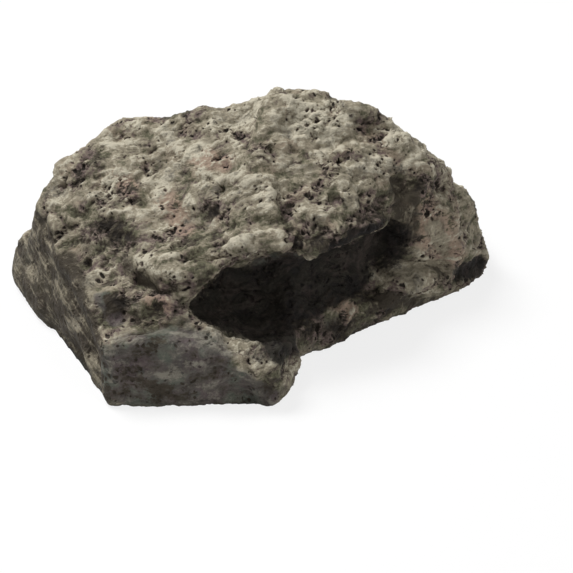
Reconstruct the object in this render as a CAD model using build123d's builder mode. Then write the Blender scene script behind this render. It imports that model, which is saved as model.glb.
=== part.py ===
"""Key rock: a hollow cast stone with a plastic key tray pushed up into its base.

Millimetres. X runs along the tray, Y to the back and Z up; the stone stands on z = 0.
"""
import os
from math import cos, radians, sin, sqrt, tan

from build123d import *

# The stone, as it measures overall
rock_length = 110.0
rock_depth = 84.0
rock_height = 50.0

# The two hollows weathered into its front
cove_length = 66.0
cove_radius = 12.0
cave_length = 34.0
cave_radius = 10.5

# The chips broken out of its rough faces: shallow five-sided dishes, each tipped its own way
chip_count = 84
chip_size = 19.0
chip_floor = 2.5
chip_slope = 18.0
chip_depth = 1.3
chip_tilt = 4.0

# The key tray: a flat plate that carries two walls, which lean apart
channel_width = 20.0
wall_length = 56.0
wall_height = 18.0
wall_thickness = 1.4
wall_lean = 14.0
wall_end_slope = 68.0
wall_corner = 3.0
plate_thickness = 1.6
plate_corner = 5.0
plate_edge = 0.4
plate_ledge = 3.8

# Fits between the tray and the stone
plate_clearance = 0.4
wall_clearance = 0.4
wall_end_clearance = 1.0
seat_gap = 0.3
ground_gap = 0.4
pocket_headroom = 2.0
pocket_corner = 3.0
pocket_ceiling_round = 1.0

# The middle of the pocket and its tray
tray_x = -4.0
tray_y = 8.0

# Sizes that follow from the fits
wall_spread = wall_height * tan(radians(wall_lean)) + wall_thickness * cos(radians(wall_lean))
wall_slant = wall_height / cos(radians(wall_lean))
wall_top_length = wall_length - 2 * wall_slant / tan(radians(wall_end_slope))
pocket_length = wall_length + 2 * wall_end_clearance
pocket_width = channel_width + 2 * (wall_spread + wall_clearance)
tray_length = pocket_length + 2 * plate_ledge
tray_width = pocket_width + 2 * plate_ledge
plate_top = ground_gap + plate_thickness
rebate_depth = plate_top + seat_gap
pocket_depth = plate_top + wall_height + pocket_headroom


def facet(bearing, lean, x, y, z):
    """A flat side of the stone: where it faces, how far it leans back, and a point on it.

    Bearings run from X towards Y. The point is given in shares of the stone's size.
    """
    turn = radians(bearing)
    tilt = radians(lean)
    outward = (cos(turn) * cos(tilt), sin(turn) * cos(tilt), sin(tilt))
    return Plane(origin=(x * rock_length, y * rock_depth, z * rock_height), z_dir=outward)


# Flat sides that more than one lobe of the stone ends at
ground = facet(0, -90, 0.0, 0.0, 0.0)
left_end = facet(187, 3, -0.449, 0.0, 0.0)
foot_front = facet(250, 4, -0.272, -0.378, 0.0)
shelf_top = facet(300, 50, 0.218, -0.227, 0.59)
around = (
    ground,
    left_end,
    facet(145, 22, -0.463, 0.274, 0.35),
    facet(144, 26, -0.409, 0.25, 0.59),
    facet(129, 41, -0.331, 0.25, 0.76),
    facet(79, 12, 0.06, 0.545, 0.0),
    facet(103, 8, -0.06, 0.535, 0.0),
    facet(128, 8, -0.381, 0.452, 0.0),
    facet(50, 12, 0.364, 0.429, 0.0),
    facet(12, 8, 0.5, 0.167, 0.06),
    facet(18, 45, 0.294, -0.006, 0.81),
    facet(34, 53, 0.177, 0.047, 0.945),
    facet(2, 32, 0.377, -0.07, 0.64),
    facet(354, 22, 0.423, -0.116, 0.46),
    facet(347, 10, 0.446, -0.152, 0.3),
    facet(330, -6, 0.469, -0.059, 0.04),
    facet(303, 10, 0.402, -0.119, 0.0),
    facet(287, -9, 0.127, -0.219, 0.0),
    facet(280, 0, 0.0, -0.297, 0.52),
    facet(240, 31, -0.327, -0.291, 0.28),
    foot_front,
    shelf_top,
)
plateau = (
    facet(83, 58, -0.146, 0.227, 0.855),
    facet(236, 66, -0.255, -0.262, 0.5),
    facet(212, 42, -0.418, -0.036, 0.39),
)
peak = (
    facet(111, 52, 0.008, 0.128, 0.96),
    facet(72, 59, 0.081, 0.091, 1.01),
    facet(280, 57, 0.018, -0.286, 0.59),
    facet(205, 60, -0.073, 0.0, 0.83),
)
foot = (
    ground,
    left_end,
    foot_front,
    facet(316, 2, -0.097, -0.424, 0.0),
    facet(345, 2, -0.039, -0.333, 0.0),
    facet(262, 78, -0.182, -0.381, 0.29),
    facet(90, 0, 0.0, -0.095, 0.0),
)

# Middles of the two hollows, and how far each one's long axis is turned from X
cove_middle = Vector(0.122 * rock_length, -0.297 * rock_depth, 0.33 * rock_height)
cove_turn = 14.0
cave_middle = Vector(-0.09 * rock_length, -0.297 * rock_depth, 0.39 * rock_height)
cave_turn = 0.0


def lobe(flats):
    """A block of stone cut back to its flat sides."""
    with BuildPart() as block:
        Box(2 * rock_length, 2 * rock_depth, 3 * rock_height)
        for flat in flats:
            split(bisect_by=flat, keep=Keep.BOTTOM)
    return block.part


def spindle(middle, turn, length, radius):
    """A hollow that tapers to a point at both ends, with its long axis level."""
    lying = Plane(origin=middle, x_dir=Vector(1, 0, 0).rotate(Axis.Z, turn), z_dir=(0, 0, 1))
    with BuildPart() as hollow:
        with BuildSketch(lying):
            with BuildLine():
                ThreePointArc((-length / 2, 0), (0, radius), (length / 2, 0))
                Line((length / 2, 0), (-length / 2, 0))
            make_face()
        revolve(axis=Axis(middle, lying.x_dir))
    return hollow.part


def skin_point(body, core, way):
    """Where a line from the core leaves a body, and which way the skin faces there."""
    hits = [hit for face in body.faces() for hit in face.find_intersection_points(Axis(core, way))]
    point, normal = max(hits, key=lambda hit: (hit[0] - core).dot(way))
    return point, normal if normal.dot(way) > 0 else -normal


def chip_places(body):
    """Places on a body's skin, from its top down in even turns, each turned and tipped its own way.

    The left end and the foot's front are smooth and get none.
    """
    core = Vector(0, 0, 0.3 * rock_height)
    golden_turn = 137.5
    found = []
    for number in range(chip_count):
        rise = 1 - (number + 0.5) / chip_count
        bearing = number * golden_turn % 360
        if 160 < bearing < 290 and rise < 0.3:
            continue
        level = sqrt(1 - rise**2)
        x = level * cos(radians(bearing)) * rock_length
        y = level * sin(radians(bearing)) * rock_depth
        point, outward = skin_point(body, core, Vector(x, y, rise * 1.4 * rock_height).normalized())
        spin = Location((0, 0, 0), (0, 0, number * golden_turn / 2))
        tip = Location((0, 0, -chip_depth), (chip_tilt, 0, 0))
        found.append(Plane(origin=point, z_dir=outward).location * spin * tip)
    return found


# The dish that a chip leaves, deepest at its flat floor, with five sides that rise from it
with BuildPart() as chip:
    Box(chip_size, chip_size, chip_size / 2, align=(Align.CENTER, Align.CENTER, Align.MIN))
    for turn in range(0, 360, 72):
        side = facet(turn, chip_slope - 90, 0.0, 0.0, 0.0)
        split(bisect_by=side.offset(chip_floor * sin(radians(chip_slope))), keep=Keep.BOTTOM)

with BuildPart() as stone:
    add(lobe(around + plateau))
    add(lobe(around + peak))
    with Locations(chip_places(stone.part)):
        add(chip.part, mode=Mode.SUBTRACT)
    add(spindle(cove_middle, cove_turn, cove_length, cove_radius), mode=Mode.SUBTRACT)
    add(lobe(foot))
    add(spindle(cave_middle, cave_turn, cave_length, cave_radius), mode=Mode.SUBTRACT)

# The origin lies on the ground under the middle of the stone's bounding box
stone_middle = stone.part.bounding_box().center()
to_origin = Location((-stone_middle.X, -stone_middle.Y, 0))

tray_middle = Plane(origin=(tray_x, tray_y, 0))

# The cast shell: the stone with a rebate for the plate and a pocket for the walls
with BuildPart() as rock_shell:
    with Locations(to_origin):
        add(stone.part)
    with BuildSketch(tray_middle):
        RectangleRounded(
            tray_length + 2 * plate_clearance,
            tray_width + 2 * plate_clearance,
            plate_corner + plate_clearance,
        )
    extrude(amount=rebate_depth, mode=Mode.SUBTRACT)
    with BuildSketch(tray_middle):
        RectangleRounded(pocket_length, pocket_width, pocket_corner)
    extrude(amount=pocket_depth, mode=Mode.SUBTRACT)
    ceiling = rock_shell.faces().filter_by(Axis.Z).filter_by_position(
        Axis.Z, pocket_depth - 0.01, pocket_depth + 0.01
    )
    fillet(ceiling.edges(), pocket_ceiling_round)


def wall_plane(side):
    """The plane of a wall's inner face, with Y up the wall, at the front (-1) or back (1)."""
    foot_line = (tray_x, tray_y + side * channel_width / 2, plate_top)
    outward = (0, side * cos(radians(wall_lean)), -sin(radians(wall_lean)))
    return Plane(origin=foot_line, x_dir=(-side, 0, 0), z_dir=outward)


# The key tray, one moulding; each wall's root is sunk halfway into the plate
wall_root = plate_thickness / 2
with BuildPart() as key_tray:
    with BuildSketch(tray_middle.offset(ground_gap)):
        RectangleRounded(tray_length, tray_width, plate_corner)
    extrude(amount=plate_thickness)
    fillet(key_tray.edges().group_by(Axis.Z)[-1], plate_edge)
    fillet(key_tray.edges().group_by(Axis.Z)[0], plate_edge)
    for side in (-1, 1):
        with BuildSketch(wall_plane(side)) as wall_outline:
            with BuildLine():
                Polyline(
                    (-wall_length / 2, -wall_root),
                    (-wall_length / 2, 0),
                    (-wall_top_length / 2, wall_slant),
                    (wall_top_length / 2, wall_slant),
                    (wall_length / 2, 0),
                    (wall_length / 2, -wall_root),
                    close=True,
                )
            make_face()
            fillet(wall_outline.vertices().group_by(Axis.Y)[-1], wall_corner)
        extrude(amount=wall_thickness)

os.makedirs("parts", exist_ok=True)
rock_shell.part.label = "rock_shell"
export_step(rock_shell.part, "parts/rock_shell.step")
key_tray.part.label = "key_tray"
export_step(key_tray.part, "parts/key_tray.step")
print("stone's middle before it is moved to the origin", stone_middle)
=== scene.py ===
# %% [markdown]
# A key rock: a hollow cast stone with a plastic key tray pushed up into its base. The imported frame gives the
# true sizes. Here the stone gets its weathered surface and its paint, and the tray its moulded edges.
# Everything is in metres, in the frame's own place.

# %% Load the frame
import math

import bmesh
import bpy
import numpy as np
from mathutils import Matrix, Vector
from mathutils.bvhtree import BVHTree


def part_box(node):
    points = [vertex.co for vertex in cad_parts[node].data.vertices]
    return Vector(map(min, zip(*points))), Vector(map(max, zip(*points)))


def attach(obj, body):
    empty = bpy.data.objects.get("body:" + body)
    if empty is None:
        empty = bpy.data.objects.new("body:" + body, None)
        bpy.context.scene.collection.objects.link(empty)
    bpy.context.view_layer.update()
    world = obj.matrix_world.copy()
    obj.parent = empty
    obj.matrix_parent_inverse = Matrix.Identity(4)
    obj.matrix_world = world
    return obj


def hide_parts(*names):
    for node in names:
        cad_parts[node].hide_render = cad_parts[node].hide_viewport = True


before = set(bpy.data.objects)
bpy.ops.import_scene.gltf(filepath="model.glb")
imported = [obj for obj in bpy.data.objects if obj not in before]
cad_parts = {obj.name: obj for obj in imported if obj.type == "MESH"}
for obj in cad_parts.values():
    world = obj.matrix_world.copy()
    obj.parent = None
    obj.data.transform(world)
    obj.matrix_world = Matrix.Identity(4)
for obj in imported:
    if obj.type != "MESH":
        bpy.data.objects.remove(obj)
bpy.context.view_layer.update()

MM = 0.001
print("nodes:", sorted(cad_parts))

# %% [markdown]
# The photograph looks down on the stone from its front left. The camera's height and side were found from
# the stone's outline. Its lens gives the photograph's scale, and its shift the stone's place in the picture.

# %% Camera at the photograph's viewing angle
PICTURE = 573
AZIMUTH = math.radians(-20)
ELEVATION = math.radians(31)
DISTANCE = 420 * MM
TARGET = Vector((-9.83, -13.92, 22.0)) * MM
TARGET_PIXEL = (251.5, 249)
PIXELS_PER_METRE = 472 / (104 * MM)
SENSOR = 36.0
NEAREST_SEEN = 10 * MM


def new_object(name, data):
    """An object with this data, put into the scene."""
    made = bpy.data.objects.new(name, data)
    bpy.context.collection.objects.link(made)
    return made


view_line = Vector((
    -math.sin(AZIMUTH) * math.cos(ELEVATION),
    math.cos(AZIMUTH) * math.cos(ELEVATION),
    -math.sin(ELEVATION),
))
camera_data = bpy.data.cameras.new("photo_camera")
camera_data.sensor_width = SENSOR
camera_data.lens = SENSOR * PIXELS_PER_METRE * DISTANCE / PICTURE
camera_data.shift_x = (PICTURE / 2 - TARGET_PIXEL[0]) / PICTURE
camera_data.shift_y = (TARGET_PIXEL[1] - PICTURE / 2) / PICTURE
camera_data.clip_start = NEAREST_SEEN
camera = new_object("photo_camera", camera_data)
camera.location = TARGET - DISTANCE * view_line
camera.rotation_euler = view_line.to_track_quat("-Z", "Y").to_euler()
bpy.context.scene.camera = camera
print(f"lens {camera_data.lens:.1f} mm, shift {camera_data.shift_x:.3f}, {camera_data.shift_y:.3f}")

# %% [markdown]
# A helper turns a place in the photograph into a place on the stone: it sends a ray from the camera through
# that pixel and takes the first point that the ray meets. A pixel beside the stone gives the stone's nearest
# point. The sculpting strokes and the patches of paint below are placed with it.

# %% From a pixel of the photograph to a point on the stone
PLATEAU_MIDDLE = (170, 190)
SAME_POINT = 0.001 * MM


def merged_mesh(node, name):
    """A copy of a CAD node's mesh with its loose triangles joined up."""
    mesh = node.data.copy()
    mesh.name = name
    work = bmesh.new()
    work.from_mesh(mesh)
    bmesh.ops.remove_doubles(work, verts=work.verts, dist=SAME_POINT)
    work.to_mesh(mesh)
    work.free()
    return mesh


stone_mesh = merged_mesh(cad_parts["rock_shell"], "stone_solid")
stone_faces = BVHTree.FromPolygons(
    [v.co for v in stone_mesh.vertices], [list(p.vertices) for p in stone_mesh.polygons]
)
camera_turn = camera.rotation_euler.to_matrix()


def on_stone(pixel_x, pixel_y):
    """The point of the stone that the photograph shows at a pixel."""
    right = (pixel_x - TARGET_PIXEL[0]) / (PIXELS_PER_METRE * DISTANCE)
    down = (pixel_y - TARGET_PIXEL[1]) / (PIXELS_PER_METRE * DISTANCE)
    ray = camera_turn @ Vector((right, -down, -1.0))
    hit = stone_faces.ray_cast(camera.location, ray.normalized())[0]
    if hit is None:
        hit = stone_faces.find_nearest(camera.location + ray * DISTANCE)[0]
    return np.array(hit)


print("middle of the plateau:", on_stone(*PLATEAU_MIDDLE) / MM)

# %% [markdown]
# The stone stands on a plain pale floor that bends up into a backdrop, as on a product table. The floor lies
# a hair under the ground, so that it never flickers through the flat base.

# %% Floor and backdrop
FLOOR_HALF = 1.5
WALL_AT = 1.2
BEND = 0.3
BEND_POINTS = 9
WALL_TOP = 1.5
FLOOR_DROP = 0.02 * MM


def shade_smooth(mesh):
    """Shades every face of a mesh smoothly."""
    for face in mesh.polygons:
        face.use_smooth = True


def studio_floor():
    """A floor that rises into a backdrop behind the stone."""
    mesh = bpy.data.meshes.new("floor")
    rows = [(-FLOOR_HALF, 0.0)]
    for angle in np.linspace(0, math.pi / 2, BEND_POINTS):
        rows.append((WALL_AT + BEND * math.sin(angle), BEND - BEND * math.cos(angle)))
    rows.append((WALL_AT + BEND, WALL_TOP))
    points = [(x, y, z) for y, z in rows for x in (-FLOOR_HALF, FLOOR_HALF)]
    faces = [(2 * i, 2 * i + 1, 2 * i + 3, 2 * i + 2) for i in range(len(rows) - 1)]
    mesh.from_pydata(points, [], faces)
    shade_smooth(mesh)
    made = new_object("floor", mesh)
    made.location.z = -FLOOR_DROP
    return made


floor = studio_floor()
print("floor:", len(floor.data.polygons), "faces")

# %% [markdown]
# The light is soft and even: one wide lamp overhead at the back left, which leaves the brow's underside dark,
# and a weaker one at the front right. They are as strong as makes a colour come out as it is written.

# %% Lamps
LAMPS = {
    "overhead_lamp": {"place": (-0.30, 0.32, 0.85), "size": 0.36, "watts": 9.5},
    "front_lamp": {"place": (0.45, -0.85, 0.5), "size": 0.6, "watts": 2.2},
}
LIT_POINT = Vector((0, 0, 0.02))


def soft_lamp(name, place, size, watts):
    """A square lamp that points at the stone."""
    lamp_data = bpy.data.lights.new(name, "AREA")
    lamp_data.shape = "SQUARE"
    lamp_data.size = size
    lamp_data.energy = watts
    lamp = new_object(name, lamp_data)
    lamp.location = place
    lamp.rotation_euler = (LIT_POINT - lamp.location).to_track_quat("-Z", "Y").to_euler()


for lamp_name, lamp_settings in LAMPS.items():
    soft_lamp(lamp_name, **lamp_settings)
print("lamps:", list(LAMPS))

# %% [markdown]
# The next steps work on all of a mesh's points at once, as arrays. These helpers read them, write them, and
# turn an object with modifiers into a plain mesh.

# %% Meshes as arrays
def fresh_copy(piece, name):
    """A piece with its modifiers applied, as a new plain mesh object."""
    shaped = piece.evaluated_get(bpy.context.evaluated_depsgraph_get())
    mesh = bpy.data.meshes.new_from_object(shaped)
    mesh.name = name
    bpy.data.objects.remove(piece)
    return new_object(name, mesh)


def point_vectors(mesh, kind):
    """One vector for each of the mesh's points: its place (co) or its normal."""
    flat = np.empty(len(mesh.vertices) * 3)
    mesh.vertices.foreach_get(kind, flat)
    return flat.reshape(-1, 3)


def move_to(mesh, points):
    """Puts the mesh's points at new places."""
    mesh.vertices.foreach_set("co", np.ascontiguousarray(points).ravel())
    mesh.update()


def ease(low, high, values):
    """0 below low, 1 above high and a soft step between."""
    share = np.clip((values - low) / (high - low), 0, 1)
    return share * share * (3 - 2 * share)


print("mesh helpers ready")

# %% [markdown]
# The stone's solid has flat sides, sharp arrises and too few faces to carve. Cutting its faces finer would
# keep long thin triangles that carve badly. A voxel remesh gives it an even skin of small squares instead.

# %% An even skin for the stone
SKIN = 0.60 * MM
SIDE_ROOM = 1.4 * MM
TOP_ROOM = 3 * MM

stone = new_object("stone", stone_mesh)
skin = stone.modifiers.new("skin", "REMESH")
skin.mode = "VOXEL"
skin.voxel_size = SKIN
stone = fresh_copy(stone, "stone")

tray_low, tray_high = (np.array(corner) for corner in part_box("key_tray"))
at = point_vectors(stone.data, "co")
beside_tray = (at[:, :2] > tray_low[:2] - SIDE_ROOM) & (at[:, :2] < tray_high[:2] + SIDE_ROOM)
inside = np.all(beside_tray, axis=1) & (at[:, 2] < tray_high[2] + TOP_ROOM)
print("stone's skin:", len(stone.data.polygons), "faces,", inside.sum(), "points in the pocket")

# %% [markdown]
# A cast stone has no sharp arris left. A smoothing wears them round, but it leaves alone the flat base and
# the pocket, because the tray has to fit them. They are kept out of all later carving too.

# %% Arrises worn round
WORN_STEPS = 60
WORN_SHARE = 0.5
FLAT = 0.5 * MM
FACING_DOWN = -0.8

worn = stone.vertex_groups.new(name="worn")
worn.add([int(index) for index in np.flatnonzero(~inside)], 1.0, "REPLACE")
wear = stone.modifiers.new("wear", "SMOOTH")
wear.factor = WORN_SHARE
wear.iterations = WORN_STEPS
wear.vertex_group = "worn"
stone = fresh_copy(stone, "stone")

flat_base = at[:, 2] < FLAT
worn_at = point_vectors(stone.data, "co")
worn_at[flat_base, 2] = at[flat_base, 2]
move_to(stone.data, worn_at)
underside = flat_base & (point_vectors(stone.data, "normal")[:, 2] < FACING_DOWN)
outside = np.where(inside | underside, 0.0, 1.0)
print("points that may be carved:", int(outside.sum()))

# %% [markdown]
# The brow, the cave, the scab, the ridges and the foot's curved top are single features of this stone, which
# no pattern gives. They are carved as a sculptor would, in strokes. Each stroke is named for what it makes.
# It is a line of a few pixels of the photograph, a width and a height in millimetres, and a direction where
# it doesn't go straight in or out. A height above zero builds up, and one below zero cuts in.

# %% A sculpting stroke
TINY = 1e-12
FORWARD = (0, -1, 0)
FORWARD_RIGHT = (0.6, -1, 0.2)
FORWARD_UP = (0.1, -1, 0.4)
UP = (0, 0, 1)

at = point_vectors(stone.data, "co")
normals = point_vectors(stone.data, "normal")
shift = np.zeros_like(at)


def distance_to(line, points):
    """How far each point is from a line of points, or from a single one."""
    nearest = np.full(len(points), np.inf)
    for start, end in zip(line, line[1:] or line):
        run = end - start
        share = np.clip((points - start) @ run / max(run @ run, TINY), 0, 1)
        nearest = np.minimum(nearest, np.linalg.norm(points - start - share[:, None] * run, axis=1))
    return nearest


def stroke_mask(pixels, width):
    """1 along a line of the photograph's pixels, falling softly to 0 at the width on either side."""
    away = distance_to([on_stone(*pixel) for pixel in pixels], at)
    return (1 - np.clip(away / (width * MM), 0, 1) ** 2) ** 2


def sculpt(strokes):
    """Moves the skin by each stroke, and prints how far it has been moved since the first one."""
    for pixels, width, height, *direction in strokes.values():
        way = np.array(direction[0]) / np.linalg.norm(direction[0]) if direction else normals
        shift[:] += (stroke_mask(pixels, width) * outside * height * MM)[:, None] * way
    furthest = np.linalg.norm(shift, axis=1).max() / MM
    print(f"{len(strokes)} strokes, moved by up to {furthest:.1f} mm so far")


# %% Strokes that correct the outline
OUTLINE = {
    "peak's left flank": ([(230, 110), (256, 99)], 10.0, 1.6),
    "dip left of the peak": ([(186, 113), (206, 111)], 6.0, -1.1),
    "peak's top": ([(320, 89), (332, 92)], 5.0, -0.9),
    "peak's right flank": ([(328, 96), (366, 104)], 8.0, 1.5),
    "right shoulder": ([(400, 126), (440, 158)], 8.0, 1.8),
    "right end": ([(470, 205), (483, 240), (480, 262)], 8.0, 1.3),
    "left shoulder": ([(36, 200), (20, 240), (14, 280)], 8.0, -0.9),
    "left end's foot": ([(60, 340), (76, 362)], 7.0, -0.9),
}
sculpt(OUTLINE)

# %% Strokes on the brow, the cave under it and the scab beside it
BROW = {
    "hollow below": ([(212, 300), (240, 284), (290, 268), (340, 258), (385, 240)], 8.0, -2.2, FORWARD),
    "undercut at the right": ([(295, 240), (340, 226), (384, 206)], 5.0, -1.6),
    "lip": ([(228, 249), (256, 240), (282, 236)], 2.6, 1.2),
    "crease under the lip": ([(205, 253), (232, 258), (262, 254), (290, 248)], 2.0, -1.3),
    "first knob": ([(302, 206), (318, 220)], 2.2, 1.0),
    "second knob": ([(322, 222), (344, 228)], 2.2, 1.0),
    "right corner": ([(388, 196), (394, 214)], 5.0, -1.6),
}
CAVE = {
    "depth": ([(208, 312), (235, 318), (262, 322)], 8.0, -4.0, FORWARD),
    "left corner": ([(194, 306), (204, 318)], 4.0, -2.4, FORWARD_RIGHT),
    "ledge in front": ([(232, 344), (262, 350)], 6.0, -1.8, UP),
    "knob at its side": ([(206, 326), (216, 336)], 2.4, 1.0),
}
SCAB = {
    "scab": ([(142, 264), (160, 269), (176, 277)], 5.0, 2.0),
    "step under it": ([(136, 282), (160, 290), (184, 284)], 2.4, -1.6),
    "notch above it": ([(185, 262), (200, 256), (215, 258)], 2.2, -1.2),
}
for strokes in (BROW, CAVE, SCAB):
    sculpt(strokes)

# %% Strokes on the left end and the foot
LEFT_END = {
    "ridge beside the foot": ([(45, 238), (62, 260), (90, 300), (106, 352), (112, 396)], 3.6, 1.3),
    "hollow beside the ridge": ([(66, 285), (84, 330), (98, 372)], 4.5, -1.3),
    "bulge": ([(22, 268), (40, 300)], 9.0, 1.8),
    "cut at its foot": ([(60, 350), (84, 382)], 6.0, -1.0),
    "top knob": ([(62, 166)], 4.0, 1.0),
    "middle knob": ([(46, 192)], 4.0, 1.0),
    "low knob": ([(27, 226)], 4.0, 1.0),
}
FOOT = {
    "curved top edge": ([(112, 352), (140, 342), (165, 336), (200, 339), (222, 354), (256, 368)], 3.0, 1.2),
    "hollow above the edge": ([(128, 318), (165, 322), (205, 330)], 5.0, -1.5),
    "bulging front": ([(150, 372), (200, 374)], 9.0, 1.0),
    "round right end": ([(268, 374), (282, 382)], 5.5, 1.3),
    "crack before the end": ([(262, 364), (264, 386)], 1.6, -0.8),
    "dent low at the right": ([(232, 394), (244, 402)], 4.0, -1.0),
}
for strokes in (LEFT_END, FOOT):
    sculpt(strokes)

# %% Strokes on the valley and the right lobe
VALLEY = {
    "valley": ([(404, 185), (399, 215), (380, 250), (372, 290)], 4.5, -2.4),
    "left groove": ([(415, 184), (412, 230)], 1.8, -1.1),
    "right groove": ([(425, 186), (421, 226)], 1.8, -1.0),
}
RIGHT_LOBE = {
    "rough crown": ([(440, 205), (450, 240)], 6.0, 1.4),
    "bulge": ([(392, 277), (415, 282), (436, 280)], 5.0, 2.8, FORWARD_UP),
    "groove above the bulge": ([(388, 262), (430, 264)], 2.0, -1.0),
    "rim": ([(452, 246), (448, 268), (436, 284)], 2.6, 1.3),
    "hollow at the end": ([(458, 274), (477, 264)], 4.5, -1.8),
}
for strokes in (VALLEY, RIGHT_LOBE):
    sculpt(strokes)

# %% Strokes on the top
TOP = {
    "step up to the peak": ([(226, 112), (232, 130), (230, 150)], 7.0, -1.3),
    "swell at the back": ([(130, 150), (200, 140)], 14.0, 0.9),
    "dip at the front": ([(150, 215), (215, 232)], 9.0, -0.9),
    "swell of the peak": ([(290, 170), (330, 190)], 9.0, 0.7),
}
PEAK_SHOULDER = {
    "recess": ([(358, 128), (384, 131)], 4.5, -1.8),
    "ridge above it": ([(350, 114), (370, 116), (388, 123)], 2.2, 0.9),
    "ridge right of it": ([(386, 128), (404, 148), (418, 170)], 4.2, 1.4),
    "ridge below it": ([(350, 162), (366, 172), (372, 186)], 2.0, 0.9),
    "short ridge": ([(338, 168), (352, 182)], 2.0, 0.8),
    "chip between the ridges": ([(325, 148), (345, 165), (352, 178)], 2.5, -0.9),
    "left chip at the edge": ([(334, 198), (340, 210), (348, 220)], 1.8, -1.4),
    "right chip at the edge": ([(362, 196), (372, 212)], 1.8, -1.0),
}
BENT_RIDGE = {
    "ridge": ([(246, 183), (268, 184), (268, 205), (273, 216)], 2.8, 1.2),
    "left arm": ([(212, 196), (228, 182), (246, 178)], 2.4, 0.9),
    "hollow beside it": ([(282, 190), (284, 212), (296, 205)], 3.0, -1.1),
}
HOLE_PIXELS = ((223, 190), (272, 150), (295, 150), (352, 150), (340, 159), (86, 265), (66, 184))
HOLE_WIDTH, HOLE_DEPTH = 1.5, 1.7
HOLES = {f"hole at {pixel}": ([pixel], HOLE_WIDTH, -HOLE_DEPTH) for pixel in HOLE_PIXELS}
for strokes in (TOP, PEAK_SHOULDER, BENT_RIDGE, HOLES):
    sculpt(strokes)

at = at + shift
at[:, 2] = np.maximum(at[:, 2], 0)
move_to(stone.data, at)

# %% [markdown]
# Node graphs are written below as sums on values. This small class wraps a node's output socket, so that
# `1 - mask` adds a Math node, and `add_node` makes any other node: its settings first, then its sockets.


# %% Node maths that reads as Python
class Value:
    """A node's output. Sums on it add Math nodes to its tree."""

    def __init__(self, socket):
        self.socket = socket
        self.tree = socket.id_data

    def math(self, operation, *others):
        inputs = dict(enumerate((self, *others)))
        return add_value(self.tree, "ShaderNodeMath", {"operation": operation}, inputs)

    def from_left(self, operation, other):
        return add_value(self.tree, "ShaderNodeMath", {"operation": operation}, {0: other, 1: self})

    def __add__(self, other):
        return self.math("ADD", other)

    def __sub__(self, other):
        return self.math("SUBTRACT", other)

    def __mul__(self, other):
        return self.math("MULTIPLY", other)

    def __truediv__(self, other):
        return self.math("DIVIDE", other)

    def __rsub__(self, other):
        return self.from_left("SUBTRACT", other)

    def __rtruediv__(self, other):
        return self.from_left("DIVIDE", other)

    __radd__ = __add__
    __rmul__ = __mul__

    def step(self, low, high):
        """0 below low, 1 above high and a soft step between."""
        settings = {"interpolation_type": "SMOOTHSTEP"}
        return add_value(self.tree, "ShaderNodeMapRange", settings, {0: self, 1: low, 2: high})


def add_node(tree, kind, settings=None, inputs=None):
    """Makes a node: its settings come first, then the values or links of its sockets."""
    node = tree.nodes.new(kind)
    for name, setting in (settings or {}).items():
        setattr(node, name, setting)
    for place, value in (inputs or {}).items():
        if isinstance(value, Value):
            tree.links.new(value.socket, node.inputs[place])
        else:
            node.inputs[place].default_value = value
    return node


def add_value(tree, kind, settings=None, inputs=None, output=0):
    """Makes a node and gives one of its outputs."""
    return Value(add_node(tree, kind, settings, inputs).outputs[output])


print("node helper ready")

# %% [markdown]
# Blots of noise, noise that bends a place, and Voronoi cells are the raw material of a weathered surface.
# These nodes exist in Geometry Nodes and in materials alike, so the same helpers serve both.


# %% Patterns for both kinds of node tree
def vector_sum(tree, operation, *values):
    """A Vector Math node."""
    return add_value(tree, "ShaderNodeVectorMath", {"operation": operation}, dict(enumerate(values)))


def blots(tree, place, width, detail=3.0, roughness=0.5):
    """Soft noise from 0 to 1 whose blots are about one width across."""
    inputs = {"Vector": place, "Scale": 1 / width, "Detail": detail, "Roughness": roughness}
    return add_value(tree, "ShaderNodeTexNoise", {}, inputs)


def bent(tree, place, width, reach):
    """A place pushed about by noise, which makes a regular pattern wander."""
    inputs = {"Vector": place, "Scale": 1 / width, "Detail": 2.0}
    push = add_value(tree, "ShaderNodeTexNoise", {}, inputs, 1)
    push = vector_sum(tree, "SUBTRACT", push, (0.5, 0.5, 0.5))
    return vector_sum(tree, "MULTIPLY_ADD", push, (reach, reach, reach), place)


def cells(tree, place, width, feature="F1"):
    """How far a place is from the middle of its Voronoi cell, for cells about one width across."""
    inputs = {"Vector": place, "Scale": 1 / width}
    return add_value(tree, "ShaderNodeTexVoronoi", {"feature": feature}, inputs)


print("patterns ready")

# %% [markdown]
# The real stone was cast from a weathered one: it has soft knobs, thin shelves that break off along ragged
# creases, grain over all, and pits that come in clusters. A picture of such a surface would only suit one
# side. A rule made of noise and Voronoi cells covers the whole stone, and it is one function, because two
# node trees use it. Geometry Nodes move the skin by it, and the paint repeats it from each point's place
# before it was moved, so that the dark wash lies in the creases and pits and the dry brush on the lips. The
# pits are painted darker still, as painted shade that the skin is too coarse to cast.

# %% The rule for the stone's relief
KNOB = 4.2 * MM
SHELF_WIDTH = 15 * MM
SHELVES = 7
GRAIN = 3.0 * MM
CLUSTER = 5 * MM
PIT = 1.5 * MM
HOLE = 4.4 * MM
PIT_DEPTH = 0.7
LAYERING = (0.7, 1.1, 1.2)
WANDER = (9 * MM, 3.5 * MM)
RAG = (1.9 * MM, 1.0 * MM)


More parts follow.
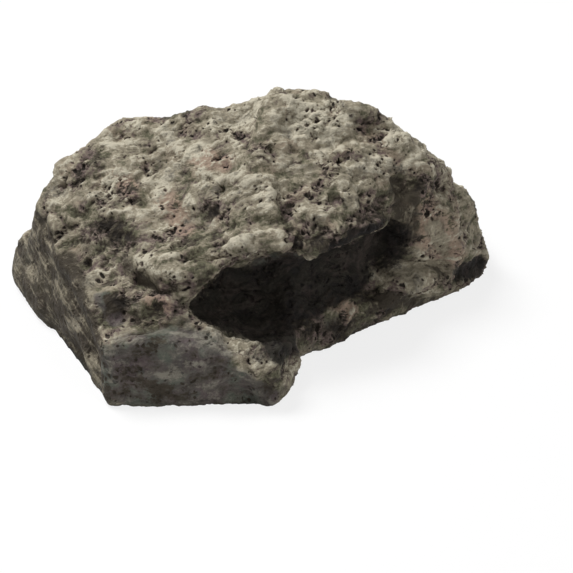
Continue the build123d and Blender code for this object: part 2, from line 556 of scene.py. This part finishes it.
def stone_relief(tree, place):
    """Knobs, shelves, creases, lips, grain and pits at a place, each from 0 to 1."""
    ragged = bent(tree, bent(tree, place, *WANDER), *RAG)
    layered = vector_sum(tree, "MULTIPLY", ragged, LAYERING)
    knobs = 1 - cells(tree, layered, KNOB, "SMOOTH_F1").step(0.05, 0.7)

    rise = blots(tree, layered, SHELF_WIDTH, 5.0, 0.66) * SHELVES
    past = rise.math("FRACT")
    climb = past.step(0.0, 0.4)
    shelves = (rise - past + climb) / SHELVES
    broken = blots(tree, place, 5 * MM, 2.0).step(0.42, 0.58)
    creases = (1 - past.step(0.0, 0.2)) * broken
    lips = climb * (1 - past.step(0.4, 0.85)) * broken

    grain = blots(tree, layered, GRAIN, 5.0, 0.62)
    clusters = blots(tree, place, CLUSTER, 4.0, 0.6)
    pits = 1 - (cells(tree, ragged, PIT) - clusters * 1.4).step(-0.66, -0.46)
    holes = 1 - (cells(tree, ragged, HOLE) - clusters * 0.8).step(-0.4, -0.3)
    return knobs, shelves, creases, lips, grain, pits.math("MAXIMUM", holes)


def stone_height(relief):
    """How high the relief stands beside its pits, about 0 on the average."""
    knobs, shelves, creases, lips, grain, _ = relief
    return knobs * 0.6 + shelves * 2.6 + grain * 2.8 + lips * 0.2 - creases * 0.35 - 2.8


print(f"knobs {KNOB / MM:.1f} mm, pits {PIT / MM:.1f} mm, holes {HOLE / MM:.1f} mm across")

# %% [markdown]
# Some places are smoother than others, some get painted highlights and painted shade, and the cave and the
# cove get painted shade over their dark paint. Each such region is a list of soft patches, which are strokes
# again: a line of pixels and a width in millimetres. The regions are kept as numbers on the skin's points,
# for both node trees to read.

# %% Smooth, slate, streaked and rose places
SMOOTH = [
    ([(28, 268), (60, 330), (90, 378)], 10), ([(90, 300), (104, 344), (110, 380)], 3.5),
    ([(144, 266), (160, 270), (174, 276)], 4.5), ([(222, 384), (254, 394)], 5),
    ([(62, 264), (84, 302), (98, 342), (106, 376)], 4.5), ([(125, 355), (180, 350), (212, 362)], 7),
    ([(130, 380), (200, 384)], 8), ([(235, 310), (270, 320)], 9), ([(262, 270), (300, 264), (350, 268)], 7),
    ([(405, 190), (402, 235)], 4), ([(432, 225), (440, 245)], 5), ([(392, 274), (440, 272)], 5),
    ([(460, 270), (475, 264)], 4), ([(380, 300), (430, 300)], 3),
]
SLATE_FACES = [
    ([(122, 366), (165, 352), (208, 362)], 8), ([(125, 388), (200, 390), (256, 396)], 6),
    ([(214, 370), (248, 386)], 5), ([(103, 300), (116, 318)], 3), ([(262, 268), (305, 262)], 4),
    ([(150, 345), (195, 345)], 4),
]
STREAKED = [
    ([(28, 268), (60, 330), (90, 378)], 9), ([(62, 264), (84, 302), (98, 342)], 5),
    ([(405, 190), (402, 235)], 5), ([(432, 225), (440, 245)], 4), ([(392, 270), (440, 272)], 5),
    ([(380, 302), (430, 298)], 3),
]
ROSY = [
    ([(166, 200), (184, 230)], 4), ([(200, 158), (225, 166)], 4), ([(420, 216), (440, 240), (450, 260)], 8),
    ([(150, 300), (165, 308)], 3), ([(118, 176), (130, 190)], 3), ([(330, 300), (350, 312)], 4),
]
print("patches:", len(SMOOTH + SLATE_FACES + STREAKED + ROSY))

# %% Cream paint and painted highlights
# Cream paint and painted highlights: where the dry brush lies thick, and where light catches lips, knobs and
# edges.
CREAM_AND_HIGHLIGHTS = [
    ([(64, 172), (72, 160)], 2.5), ([(108, 178), (125, 176)], 3), ([(145, 182), (165, 190)], 4),
    ([(128, 208), (140, 214)], 2.5), ([(140, 128), (165, 135)], 4), ([(100, 140), (130, 150)], 3),
    ([(180, 150), (205, 152)], 3.5), ([(222, 182), (246, 178)], 3), ([(250, 183), (268, 185)], 3.5),
    ([(268, 190), (266, 206), (272, 216)], 3.5), ([(228, 248), (262, 239), (282, 235)], 2.8),
    ([(142, 264), (160, 272), (176, 278)], 4.5), ([(48, 240), (62, 258)], 1.8), ([(90, 285), (98, 308)], 2.5),
    ([(303, 208), (318, 220)], 2.4), ([(325, 222), (345, 226)], 2.4),
    ([(376, 135), (400, 150), (412, 160)], 4.5), ([(418, 170)], 3), ([(300, 112), (340, 120)], 4),
    ([(262, 108), (285, 104)], 3),
    ([(440, 215), (435, 230)], 3.5), ([(449, 252), (442, 278)], 3), ([(390, 279), (435, 284)], 2.6),
    ([(470, 228), (465, 250)], 2), ([(237, 368), (258, 373)], 2.8), ([(282, 355), (288, 372)], 2),
    ([(144, 264), (160, 270), (174, 276)], 4),
    ([(150, 336), (168, 334), (186, 336), (206, 343), (221, 353)], 1.2), ([(237, 368), (256, 372)], 2.4),
    ([(262, 118), (300, 126), (335, 134)], 9), ([(392, 132), (408, 160)], 5),
    ([(386, 280), (410, 288), (436, 284)], 4), ([(396, 266), (424, 270)], 4), ([(430, 218), (446, 246)], 5),
    ([(206, 325), (214, 335)], 2.2), ([(345, 303), (352, 314)], 3), ([(22, 270), (44, 276)], 3),
    ([(80, 352), (92, 360)], 2.6), ([(165, 378), (178, 384)], 3), ([(185, 322), (198, 330)], 2),
]
print("light patches:", len(CREAM_AND_HIGHLIGHTS))

# %% Dark paint and painted shade
# Dark paint and painted shade: dark flecks and holes, and painted shadows under ledges and lips, along the
# brow and in the valley.
DARK_PAINT_AND_SHADE = [
    ([(82, 168), (98, 164)], 4), ([(66, 185), (76, 182)], 2.2), ([(122, 190), (138, 196)], 2.8),
    ([(118, 132), (130, 136)], 3), ([(105, 225), (125, 235), (140, 238)], 4), ([(85, 205), (100, 205)], 2.5),
    ([(222, 190), (236, 186)], 2.4), ([(206, 202), (215, 212)], 2.6), ([(212, 235), (220, 236)], 2),
    ([(272, 150)], 1.8), ([(295, 150)], 1.8), ([(338, 159), (353, 150)], 2.6), ([(328, 122), (345, 130)], 2),
    ([(360, 121), (384, 122)], 2), ([(358, 130), (380, 140)], 3.5), ([(280, 215), (290, 205)], 2.5),
    ([(334, 198), (347, 218)], 2), ([(362, 200), (372, 212)], 2), ([(185, 260), (205, 252), (225, 256)], 2.4),
    ([(222, 263), (250, 257), (288, 248)], 2.4), ([(138, 281), (165, 288), (184, 283)], 2.4),
    ([(300, 240), (350, 234), (388, 212)], 5), ([(397, 215), (403, 185)], 3), ([(455, 268), (478, 262)], 4.5),
    ([(84, 264), (92, 272)], 2.4), ([(66, 268), (84, 296)], 5), ([(142, 378)], 1.6),
    ([(268, 374), (272, 392)], 3), ([(134, 333), (160, 326), (196, 329)], 1.8),
    ([(302, 254), (334, 243), (358, 232), (378, 224), (392, 212)], 3.6), ([(405, 194), (402, 214)], 2.5),
    ([(419, 178), (414, 202)], 2), ([(430, 190), (427, 208)], 1.6), ([(64, 268), (80, 300), (92, 334)], 4.5),
    ([(390, 196), (398, 184)], 3.5), ([(102, 322), (116, 330)], 2.6), ([(300, 325), (345, 330)], 6),
    ([(365, 296), (395, 300)], 5), ([(110, 300), (125, 308)], 3), ([(130, 318), (180, 322)], 3),
    ([(155, 384), (188, 390)], 3),
]
# Dimmer paint with painted shade: slopes turned from the light, under the brow, below the cove, in the valley
# and on the left end.
DIM_PAINT_AND_SHADE = [
    ([(60, 262), (78, 300), (94, 340), (103, 376)], 5), ([(112, 346), (140, 348)], 4),
    ([(240, 380), (262, 402)], 3), ([(112, 300), (150, 316), (195, 322)], 9),
    ([(28, 262), (60, 330), (90, 378)], 10), ([(66, 270), (90, 330)], 6), ([(300, 325), (350, 330)], 9),
    ([(350, 306), (405, 296)], 7), ([(404, 186), (400, 245)], 7),
    ([(420, 190), (420, 235)], 4), ([(80, 240), (140, 246), (190, 240)], 8), ([(210, 218), (300, 228)], 7),
    ([(300, 232), (345, 224), (384, 204)], 6), ([(190, 270), (215, 276)], 5),
]
SHADE = [
    ([(212, 306), (240, 314), (268, 326), (285, 340)], 9),
    ([(232, 290), (300, 282), (345, 268), (385, 244)], 9), ([(298, 310), (340, 292), (366, 278)], 4),
    ([(392, 214), (396, 240)], 3),
    ([(307, 259), (334, 246), (357, 235), (377, 227), (391, 219)], 1.9), ([(458, 274), (477, 266)], 4),
]
print("dark, dim and shaded patches:", len(DARK_PAINT_AND_SHADE + DIM_PAINT_AND_SHADE + SHADE))

# %% [markdown]
# The whole left end is smooth, dim and streaked, also round the corner where the photograph doesn't reach.
# So it is found from the shape: low skin near that end that faces left.

# %% The regions on the skin
END_X, END_X_FADE = -36 * MM, 5 * MM
END_TOP, END_TOP_FADE = 21 * MM, 7 * MM
FACING_LEFT = (0.55, 0.8)
PAINTED_TOP_LIGHT_RANGE = (-0.3, 0.9)


def patch(strokes):
    """The union of several soft strokes."""
    return 1 - np.prod([1 - stroke_mask(pixels, width) for pixels, width in strokes], axis=0)


skin_normals = point_vectors(stone.data, "normal")
left_end = ease(*FACING_LEFT, -skin_normals[:, 0]) * (1 - ease(END_X, END_X + END_X_FADE, at[:, 0]))
left_end = left_end * (1 - ease(END_TOP, END_TOP + END_TOP_FADE, at[:, 2]))
REGIONS = {
    "outside": outside,
    "inside": inside & ~flat_base,
    # up: painted light, which makes the faces that look up lighter in the paint
    "up": ease(*PAINTED_TOP_LIGHT_RANGE, skin_normals[:, 2]),
    "smooth": np.maximum(patch(SMOOTH), left_end),
    "slate": patch(SLATE_FACES),
    "streaked": np.maximum(patch(STREAKED), left_end),
    "rose": patch(ROSY),
    # light, dark and dim: cream and dark paint together with painted highlights and painted shade
    "light": patch(CREAM_AND_HIGHLIGHTS),
    "dark": patch(DARK_PAINT_AND_SHADE),
    "dim": np.maximum(patch(DIM_PAINT_AND_SHADE), left_end * 0.8),
    "shade": patch(SHADE),
}
for region, values in REGIONS.items():
    layer = stone.data.attributes.new(region, "FLOAT", "POINT")
    layer.data.foreach_set("value", np.ascontiguousarray(np.clip(values, 0, 1), dtype=np.float32))
    print(f"{region}: {np.mean(values):.0%} of the skin")

# %% [markdown]
# The smooth faces are streaked, each along its own flow. A place that is pressed together along the flow
# makes ordinary noise come out as streaks, so that pressed place is kept on the skin too, as a vector.

# %% Streaks that follow each face
PRESSED = 0.8
FLATTENED = (1, 1, 0.4)
NEAR_FLOW = 0.15
NEAR_LEFT_END = 0.3
FLOWS = {
    "left end": ([(25, 250), (62, 318), (92, 376)], 14),
    "valley": ([(404, 184), (402, 212), (398, 240)], 7),
    "right lobe": ([(386, 268), (412, 266), (440, 262)], 8),
    "foot": ([(130, 372), (180, 372), (230, 376)], 12),
    "hollow under the brow": ([(258, 286), (290, 266), (330, 256)], 9),
}
pressed = at * FLATTENED
for face, (pixels, width) in FLOWS.items():
    start, end = on_stone(*pixels[0]), on_stone(*pixels[-1])
    way = (end - start) / np.linalg.norm(end - start)
    along = (at @ way)[:, None] * way
    near = stroke_mask(pixels, width) > NEAR_FLOW
    if face == "left end":
        near = near | (left_end > NEAR_LEFT_END)
    pressed[near] = (at - PRESSED * along)[near]
layer = stone.data.attributes.new("flow", "FLOAT_VECTOR", "POINT")
layer.data.foreach_set("vector", np.ascontiguousarray(pressed, dtype=np.float32).ravel())
print("streaked faces:", list(FLOWS))

# %% [markdown]
# The weathering is a real change of shape, because the stone's edge against the backdrop has to be ragged
# too, which a bump in the paint can't give. Geometry Nodes move each point along its normal: by broad lumps,
# and by the relief, which is weaker on the smooth faces. They keep each point's first place as `rest`, moved
# by the seed.


# %% Geometry Nodes that weather the skin
WEATHERING = {"Lump Width": 16 * MM, "Lump Height": 1.2 * MM, "Relief Height": 1.0 * MM, "Seed": 0.31}


def weathering_tree(surface):
    """Moves the skin along its normals by broad lumps and by the stone's relief."""
    tree = bpy.data.node_groups.new("weathering", "GeometryNodeTree")
    tree.interface.new_socket("Geometry", in_out="INPUT", socket_type="NodeSocketGeometry")
    tree.interface.new_socket("Geometry", in_out="OUTPUT", socket_type="NodeSocketGeometry")
    for name, value in WEATHERING.items():
        socket = tree.interface.new_socket(name, in_out="INPUT", socket_type="NodeSocketFloat")
        socket.default_value = value
    entry = add_node(tree, "NodeGroupInput")
    size = {name: Value(entry.outputs[name]) for name in WEATHERING}

    def region_number(name):
        return add_value(tree, "GeometryNodeInputNamedAttribute", {"data_type": "FLOAT"}, {"Name": name})

    position = add_value(tree, "GeometryNodeInputPosition")
    start = add_value(tree, "ShaderNodeCombineXYZ", {}, {0: size["Seed"], 1: size["Seed"], 2: size["Seed"]})
    place = vector_sum(tree, "ADD", position, start)
    settings = {"data_type": "FLOAT_VECTOR", "domain": "POINT"}
    inputs = {"Geometry": Value(entry.outputs[0]), "Name": "rest", "Value": place}
    geometry = add_value(tree, "GeometryNodeStoreNamedAttribute", settings, inputs)

    rough = 1 - region_number("smooth") * 0.75
    lumps = blots(tree, place, size["Lump Width"], 2.0) - 0.5
    relief = stone_relief(tree, place)
    standing = (stone_height(relief) - relief[-1] * PIT_DEPTH) * size["Relief Height"]
    height = lumps * size["Lump Height"] * 2 + standing * rough
    normal = add_value(tree, "GeometryNodeInputNormal")
    inputs = {0: normal, "Scale": height * region_number("outside")}
    push = add_value(tree, "ShaderNodeVectorMath", {"operation": "SCALE"}, inputs)
    geometry = add_value(tree, "GeometryNodeSetPosition", {}, {"Geometry": geometry, "Offset": push})
    geometry = add_value(tree, "GeometryNodeRealizeInstances", {}, {0: geometry})
    geometry = add_value(tree, "GeometryNodeSetMaterial", {}, {"Geometry": geometry, "Material": surface})
    add_node(tree, "NodeGroupOutput", {}, {0: geometry})
    return tree


print("weathering:", WEATHERING)

# %% [markdown]
# The real stone is cast in dark resin and painted like granite: a brown-black wash that stays in the
# hollows, greys and faint pink and green over it, and a cream dry brush that only touches what stands up. One
# colour with speckles would look flat, so the paint below is laid in the maker's order, and each coat lies
# where the relief stands up or falls back. Painted light and shade lie over it: faces that look up and slopes
# that face the back left are painted lighter, and the pits, the cave, the cove and listed patches darker.


# %% Helpers for paint
def srgb(red, green, blue):
    """A screen colour from 0 to 255 as the linear colour that Blender wants."""
    def linear(channel):
        share = channel / 255
        return share / 12.92 if share <= 0.04045 else ((share + 0.055) / 1.055) ** 2.4
    return (linear(red), linear(green), linear(blue), 1.0)


def mix(tree, under, over, share):
    """Lays one colour over another by a share."""
    settings = {"data_type": "RGBA"}
    return add_value(tree, "ShaderNodeMix", settings, {0: share, 6: under, 7: over}, 2)


def kept(tree, name, kind="Fac"):
    """A number that the skin keeps for each point, or a vector."""
    return add_value(tree, "ShaderNodeAttribute", {"attribute_name": name}, {}, kind)


def new_material(name):
    """A material, its empty tree and its surface shader."""
    material = bpy.data.materials.new(name)
    material.use_nodes = True
    tree = material.node_tree
    tree.nodes.clear()
    shader = add_node(tree, "ShaderNodeBsdfPrincipled")
    add_node(tree, "ShaderNodeOutputMaterial", {}, {0: Value(shader.outputs[0])})
    return material, tree, shader


def feed(tree, shader, **values):
    """Links values to the shader's sockets: Base_Color=..., Roughness=..."""
    for name, value in values.items():
        tree.links.new(value.socket, shader.inputs[name.replace("_", " ")])


print("paint helpers ready")

# %% The stone's colours
RESIN = srgb(30, 25, 20)
WASH = srgb(58, 52, 43)
OLIVE = srgb(92, 90, 72)
MAUVE = srgb(100, 86, 82)
STONE = srgb(138, 130, 112)
CREAM = srgb(186, 179, 160)
ROSE = srgb(158, 134, 118)
SLATE = srgb(76, 72, 68)
PALE_SLATE = srgb(122, 118, 108)
PURPLE = srgb(84, 74, 75)
GREENISH = srgb(84, 88, 80)
# The painted shade of the cave and the cove, over their dark paint: near black and dark brown.
CAVE_SHADE_BLACK = srgb(11, 8, 6)
CAVE_SHADE_BROWN = srgb(50, 42, 39)
BASE = srgb(62, 63, 58)
POCKET = srgb(46, 38, 31)
print("stone's grey:", [round(channel, 3) for channel in STONE])


# %% Paint on the rough faces
# Where the painted light and shade of the slopes come from: the back left and above, like the overhead lamp.
PAINTED_LIGHT_FROM = (-0.5 * MM, 0.3 * MM, 0.5 * MM)
FLECK = 0.8 * MM
MOTTLE = 7 * MM
STREAK = 1.8 * MM


def rough_paint(tree, place, relief, tone_and_painted_light, fine, broad):
    """Wash, greys, rose tints and a cream dry brush, with painted light and shade from the back left and
    above.
    """
    creases, lips, grain, pits = relief[2:]
    # Painted light and shade: slopes that face the back left and above are painted lighter, and the others
    # darker.
    shifted_towards_light = vector_sum(tree, "ADD", place, PAINTED_LIGHT_FROM)
    painted_slope_light = stone_height(relief) - stone_height(stone_relief(tree, shifted_towards_light))
    detail = (grain - 0.5) * 1.3 + (fine - 0.5) * 0.8 + (broad - 0.5) * 0.9 + painted_slope_light * 0.22
    # Creases take the dark wash. Pits take the wash and painted shade, which the skin is too coarse to cast.
    tone = tone_and_painted_light + detail + lips * 0.1 - creases * 0.2 - pits * 0.65 + 0.47
    under = mix(tree, OLIVE, MAUVE, blots(tree, place, 5 * MM, 3.0, 0.6).step(0.42, 0.58))
    colour = mix(tree, RESIN, WASH, tone.step(0.02, 0.22))
    colour = mix(tree, colour, under, tone.step(0.2, 0.42))
    colour = mix(tree, colour, STONE, tone.step(0.4, 0.62))
    rosy = (kept(tree, "rose") * 0.45 + blots(tree, place, 6 * MM, 3.0) * 0.7).step(0.34, 0.68)
    colour = mix(tree, colour, ROSE, rosy * tone.step(0.3, 0.5) * 0.6)
    return mix(tree, colour, CREAM, tone.step(0.62, 0.9))


print(f"flecks {FLECK / MM:.1f} mm, mottles {MOTTLE / MM:.1f} mm, streaks {STREAK / MM:.1f} mm across")


# %% Paint on the smooth faces
def worn_paints(tree, place, relief, tone_and_painted_light, fine, broad, streaks):
    """The brown of the streaked faces, and the mottled slate of the foot's front."""
    grain, pits = relief[4:]
    streaky = (streaks - 0.5) * (1 + kept(tree, "streaked"))
    tone = streaky + (fine - 0.5) * 0.8 + (broad - 0.5) * 1.2 + (grain - 0.5) * 0.8
    # The pits are darker here too: dark wash and painted shade.
    tone = tone + tone_and_painted_light - pits * 0.4 + 0.37
    brown = mix(tree, WASH, STONE, tone.step(0.2, 0.75))
    brown = mix(tree, brown, CREAM, tone.step(0.7, 1.1))
    tinted = mix(tree, PURPLE, GREENISH, blots(tree, place, 6 * MM, 2.0).step(0.4, 0.6))
    slate = mix(tree, SLATE, tinted, blots(tree, place, 3 * MM, 3.0).step(0.35, 0.6))
    slate = mix(tree, slate, PALE_SLATE, tone.step(0.38, 0.7))
    slate = mix(tree, slate, WASH, (1 - tone).step(0.66, 0.95))
    return brown, slate


print("smooth faces:", len(SMOOTH), "patches and the left end")


# %% The stone's whole paint
def stone_paint():
    """The paint of the rough faces, the smooth faces, the painted shade of the cave and cove, the base and the
    pocket.
    """
    material, tree, shader = new_material("cast_stone")
    place = kept(tree, "rest", "Vector")
    relief = stone_relief(tree, place)
    grain, pits = relief[4:]
    fine = blots(tree, place, FLECK, 4.0, 0.7)
    broad = blots(tree, place, MOTTLE, 3.0)
    streaks = blots(tree, bent(tree, kept(tree, "flow", "Vector"), 5 * MM, 2.5 * MM), STREAK, 4.0, 0.65)
    # Painted light and shade with the cream and dark paint: faces that look up and the light patches are
    # lighter, and the dark and dim patches darker.
    tone_and_painted_light = kept(tree, "up") * 0.14 + kept(tree, "light") * 0.24
    tone_and_painted_light = tone_and_painted_light - kept(tree, "dark") * 0.26 - kept(tree, "dim") * 0.16
    ragged_edge = (broad - 0.5) * 1.8 + (fine - 0.5) * 1.2

    colour = rough_paint(tree, place, relief, tone_and_painted_light, fine, broad)
    brown, slate = worn_paints(tree, place, relief, tone_and_painted_light, fine, broad, streaks)
    colour = mix(tree, colour, brown, (kept(tree, "streaked") * 1.3 + ragged_edge).step(0.1, 0.7) * 0.9)
    slate_share = kept(tree, "slate")
    colour = mix(tree, colour, slate, (slate_share * 1.3 + ragged_edge).step(0.1, 0.7) * 0.9)
    # Painted shade over the dark paint of the cave and the cove, streaked near black and dark brown.
    painted_cove_shade = mix(tree, CAVE_SHADE_BLACK, CAVE_SHADE_BROWN, (streaks * 0.6 + broad * 0.4 + slate_share * 0.15).step(0.48, 0.66))
    colour = mix(tree, colour, painted_cove_shade, (kept(tree, "shade") * 1.4 + ragged_edge).step(0.15, 0.75) * 0.95)
    base = mix(tree, BASE, RESIN, blots(tree, place, 3 * MM, 4.0).step(0.5, 0.75) * 0.6)
    colour = mix(tree, base, colour, kept(tree, "outside").step(0.0, 0.5))
    colour = mix(tree, colour, POCKET, kept(tree, "inside"))

    height = stone_height(relief) - pits * PIT_DEPTH + fine * 0.6
    bump = add_value(tree, "ShaderNodeBump", {}, {"Strength": 0.8, "Distance": 0.6 * MM, "Height": height})
    feed(tree, shader, Base_Color=colour, Roughness=0.6 + grain * 0.3, Normal=bump)
    shader.inputs["Specular IOR Level"].default_value = 0.18
    return material


cast_stone = stone_paint()
print("stone paint:", len(cast_stone.node_tree.nodes), "nodes")

# %% [markdown]
# With its paint ready, the stone is weathered. The modifier's result becomes a plain mesh, and the few points
# that went under the ground are lifted back to it, so that the stone stands flat.

# %% Weather the stone
weather = stone.modifiers.new("weathering", "NODES")
weather.node_group = weathering_tree(cast_stone)
stone = fresh_copy(stone, "stone")
weathered_at = point_vectors(stone.data, "co")
weathered_at[:, 2] = np.maximum(weathered_at[:, 2], 0)
move_to(stone.data, weathered_at)
shade_smooth(stone.data)
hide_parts("rock_shell")
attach(stone, "rock")
print("weathered stone:", len(stone.data.polygons), "faces")

# %% [markdown]
# The key tray is one moulding in milky white polypropylene. Its shape comes from the frame. A bevel gives its
# edges the small rounding that a mould leaves, and its plastic is satin and lets a little light in.


# %% The tray's plastic
def tray_plastic():
    """Milky white plastic with a faint haze and a fine ripple."""
    material, tree, shader = new_material("tray_plastic")
    place = add_value(tree, "ShaderNodeTexCoord", {}, {}, "Object")
    haze = blots(tree, place, 14 * MM, 2.0)
    colour = mix(tree, srgb(222, 222, 216), srgb(236, 235, 229), haze)
    ripple = blots(tree, place, 0.6 * MM, 2.0)
    bump = add_value(tree, "ShaderNodeBump", {}, {"Strength": 0.15, "Distance": 0.05 * MM, "Height": ripple})
    feed(tree, shader, Base_Color=colour, Roughness=0.34 + haze * 0.12, Normal=bump)
    shader.inputs["Subsurface Weight"].default_value = 0.25
    shader.inputs["Subsurface Radius"].default_value = (1.0, 1.0, 0.9)
    shader.inputs["Subsurface Scale"].default_value = 1.5 * MM
    return material


milky_plastic = tray_plastic()
print("tray plastic:", len(milky_plastic.node_tree.nodes), "nodes")

# %% The tray's edges
EDGE = 0.3 * MM
EDGE_STEPS = 3
SHARP = math.radians(35)

tray = new_object("tray", merged_mesh(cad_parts["key_tray"], "tray"))
edges = tray.modifiers.new("edges", "BEVEL")
edges.width = EDGE
edges.segments = EDGE_STEPS
edges.limit_method = "ANGLE"
edges.angle_limit = SHARP
tray = fresh_copy(tray, "tray")
shade_smooth(tray.data)
tray.data.materials.clear()
tray.data.materials.append(milky_plastic)
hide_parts("key_tray")
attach(tray, "tray")
print("tray:", len(tray.data.polygons), "faces")

# %% [markdown]
# The floor is matt and pale in the light, and the camera sees it nearly white, with the stone's shadow kept.
# The room lights the stone softly, and the camera sees it white. A Light Path node tells a ray that shows the
# background from one that carries light, so the background costs the stone no light of its own.

# %% The floor's and the room's finish
WHITE = (1.0, 1.0, 1.0, 1.0)
FLOOR_GREY = (0.88, 0.88, 0.88, 1.0)
FLOOR_GLOW = 0.8
ROOM_LIGHT = 0.26


def seen_directly(tree):
    """1 for the camera's own rays, and for those that a gloss or a clear piece sends on."""
    rays = add_node(tree, "ShaderNodeLightPath")
    kinds = ("Is Camera Ray", "Is Glossy Ray", "Is Transmission Ray")
    own, glossy, through = (Value(rays.outputs[kind]) for kind in kinds)
    return own.math("MAXIMUM", glossy).math("MAXIMUM", through)


def finish(tree, lit, seen, share, output_kind):
    """Mixes what lights the scene with what the camera sees, into the tree's output."""
    both = add_value(tree, "ShaderNodeMixShader", {}, {0: share, 1: lit, 2: seen})
    add_node(tree, output_kind, {}, {0: both})


floor_material = bpy.data.materials.new("floor")
room = bpy.data.worlds.new("room")
for holder in (floor_material, room):
    holder.use_nodes = True
    holder.node_tree.nodes.clear()

floor_tree, room_tree = floor_material.node_tree, room.node_tree
matt = add_value(floor_tree, "ShaderNodeBsdfDiffuse", {}, {"Color": FLOOR_GREY})
glow = add_value(floor_tree, "ShaderNodeEmission", {}, {"Color": WHITE, "Strength": 1.0})
finish(floor_tree, matt, glow, seen_directly(floor_tree) * FLOOR_GLOW, "ShaderNodeOutputMaterial")
light = add_value(room_tree, "ShaderNodeBackground", {}, {"Color": WHITE, "Strength": ROOM_LIGHT})
white = add_value(room_tree, "ShaderNodeBackground", {}, {"Color": WHITE, "Strength": 1.0})
finish(room_tree, light, white, seen_directly(room_tree), "ShaderNodeOutputWorld")

floor.data.materials.append(floor_material)
bpy.context.scene.world = room
bpy.context.scene.view_settings.view_transform = "Standard"
print("floor and room finished")
